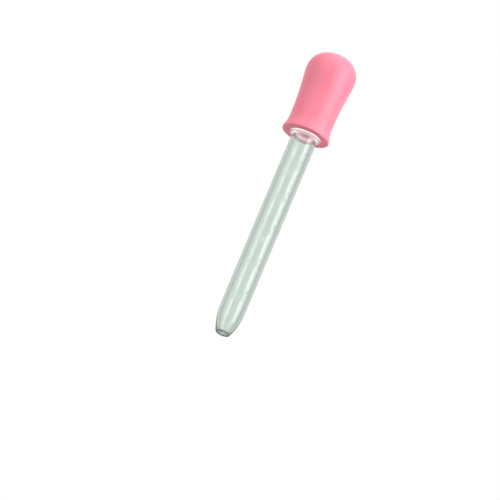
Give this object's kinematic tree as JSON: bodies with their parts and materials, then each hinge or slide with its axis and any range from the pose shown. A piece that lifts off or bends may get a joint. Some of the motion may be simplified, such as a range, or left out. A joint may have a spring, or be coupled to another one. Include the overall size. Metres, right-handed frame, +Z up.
{
  "type": "medicine dropper",
  "caption": "Medicine dropper: a clear plastic tube with a rounded nose and raised volume marks, and a soft squeeze bulb that pulls off the tube's plug end.",
  "frame": {"origin": "middle of the outlet hole in the tip's end face", "axes": "+Z up the tube's axis, from the tip to the bulb's dome; the volume marks face -Y; the bulb is squeezed along X"},
  "size_m": [0.0186, 0.0186, 0.1134],
  "materials": {
    "clear_plastic": "polished, clear with a faint green-grey tint",
    "pink_silicone": "matte silicone"
  },
  "bodies": {
    "tube": {"tube": "clear_plastic"},
    "bulb": {"bulb": "pink_silicone"},
    "left_pad": {"squeeze_pad_left": "pink_silicone"},
    "right_pad": {"squeeze_pad_right": "pink_silicone"}
  },
  "joints": [
    {"name": "bulb_pull_off", "type": "slide", "parent": "tube", "child": "bulb", "axis": [0, 0, 1], "range_m": [0, 0.015]},
    {"name": "bulb_squeeze", "type": "slide", "parent": "bulb", "child": "left_pad", "axis": [1, 0, 0], "range_m": [0, 0.0045], "stiffness_N_per_m": 600},
    {"name": "bulb_squeeze_far_side", "type": "slide", "parent": "left_pad", "child": "right_pad", "axis": [-1, 0, 0], "range_m": [0, 0.009], "stiffness_N_per_m": 150}
  ],
  "couplings": [
    {"joint": "bulb_squeeze_far_side", "follows": "bulb_squeeze", "ratio": 2}
  ]
}
